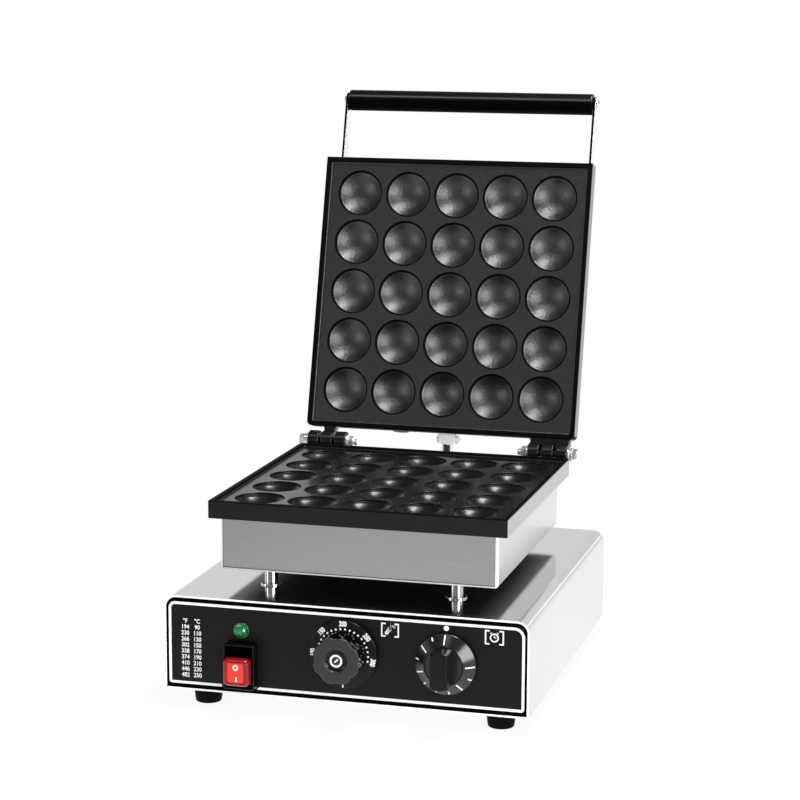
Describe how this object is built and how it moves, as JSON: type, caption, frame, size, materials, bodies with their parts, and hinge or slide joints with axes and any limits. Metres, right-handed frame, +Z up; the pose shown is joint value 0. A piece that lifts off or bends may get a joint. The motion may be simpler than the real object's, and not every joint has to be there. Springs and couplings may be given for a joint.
{
  "type": "countertop plate cooker",
  "caption": "Countertop electric cooker with a hinged lid and round-cup plates, sheet base, control knobs, rocker switch and a bar handle.",
  "frame": {"origin": "at table level, midway between the timer grip's front face and the open lid's far corner, in the middle of the width", "axes": "+X to the right seen from the front, +Y from the front panel towards the hinges, +Z up"},
  "size_m": [0.304, 0.4528, 0.4834],
  "materials": {
    "black_panel": "satin",
    "black_plastic": "gloss",
    "black_rubber": "matte",
    "brass_tabs": "satin",
    "bright_steel": "polished",
    "copper_tube": "satin",
    "glazed_steatite": "gloss",
    "green_lens": "gloss",
    "heater_sheath": "satin",
    "matte_black_plastic": "matte",
    "mineral_wool": "matte",
    "mirror_stainless": "polished",
    "nonstick_coating": "satin",
    "red_plastic": "gloss",
    "satin_stainless": "satin",
    "zinc_steel": "satin"
  },
  "bodies": {
    "base": {"base_wrap": "mirror_stainless", "bottom_cover": "satin_stainless", "cover_screws": "zinc_steel", "front_panel": "black_panel", "rear_panel": "satin_stainless", "rubber_feet": "black_rubber", "foot_washers": "zinc_steel", "foot_screws": "zinc_steel", "foot_nuts": "zinc_steel", "post_spacers": "bright_steel", "post_washers": "bright_steel", "post_studs": "zinc_steel", "post_nuts": "zinc_steel", "lower_heater_box": "satin_stainless", "lower_plate": "nonstick_coating", "lower_element": "heater_sheath", "lower_clamp": "zinc_steel", "lower_insulation": "mineral_wool", "lower_lip_screws": "zinc_steel", "lower_clamp_screws": "zinc_steel", "hinge_bolts": "bright_steel", "hinge_washers": "bright_steel", "hinge_nuts": "bright_steel", "stop_block": "bright_steel", "stop_post": "bright_steel", "stop_bolt": "bright_steel", "thermostat_body": "matte_black_plastic", "thermostat_bulb": "copper_tube", "timer_body": "matte_black_plastic", "control_screws": "zinc_steel", "switch_housing": "black_plastic", "switch_terminals": "brass_tabs", "indicator_lens": "green_lens", "indicator_body": "matte_black_plastic", "indicator_nut": "matte_black_plastic", "terminal_block": "glazed_steatite", "cable_gland": "matte_black_plastic", "gland_locknut": "matte_black_plastic", "base_lead_gland": "matte_black_plastic"},
    "lid": {"lid_housing": "satin_stainless", "lid_plate": "nonstick_coating", "lid_element": "heater_sheath", "lid_clamp": "zinc_steel", "lid_insulation": "mineral_wool", "lid_lip_screws": "zinc_steel", "lid_clamp_screws": "zinc_steel", "handle_arm_left": "bright_steel", "handle_arm_right": "bright_steel", "handle_grip": "black_plastic", "handle_rod": "zinc_steel", "handle_screws": "bright_steel", "arm_screws": "bright_steel", "arm_nuts": "zinc_steel", "lid_lead_gland": "matte_black_plastic"},
    "temperature_control": {"temperature_dial": "matte_black_plastic", "temperature_knob": "matte_black_plastic", "temperature_shaft": "zinc_steel"},
    "timer_control": {"timer_knob": "matte_black_plastic", "timer_shaft": "zinc_steel"},
    "rocker": {"power_rocker": "red_plastic"}
  },
  "joints": [
    {"name": "lid_hinge", "type": "hinge", "parent": "base", "child": "lid", "pos_m": [0, 0.09987, 0.1676], "axis": [1, 0, 0], "range_deg": [0, 105.4]},
    {"name": "temperature_turn", "type": "hinge", "parent": "base", "child": "temperature_control", "pos_m": [0.001, -0.19923, 0.0578], "axis": [0, 1, 0], "range_deg": [-100, 180]},
    {"name": "timer_turn", "type": "hinge", "parent": "base", "child": "timer_control", "pos_m": [0.085, -0.19923, 0.056], "axis": [0, 1, 0], "range_deg": [0, 270]},
    {"name": "rocker_tilt", "type": "hinge", "parent": "base", "child": "rocker", "pos_m": [-0.0848, -0.19523, 0.0392], "axis": [-1, 0, 0], "range_deg": [0, 10]}
  ]
}
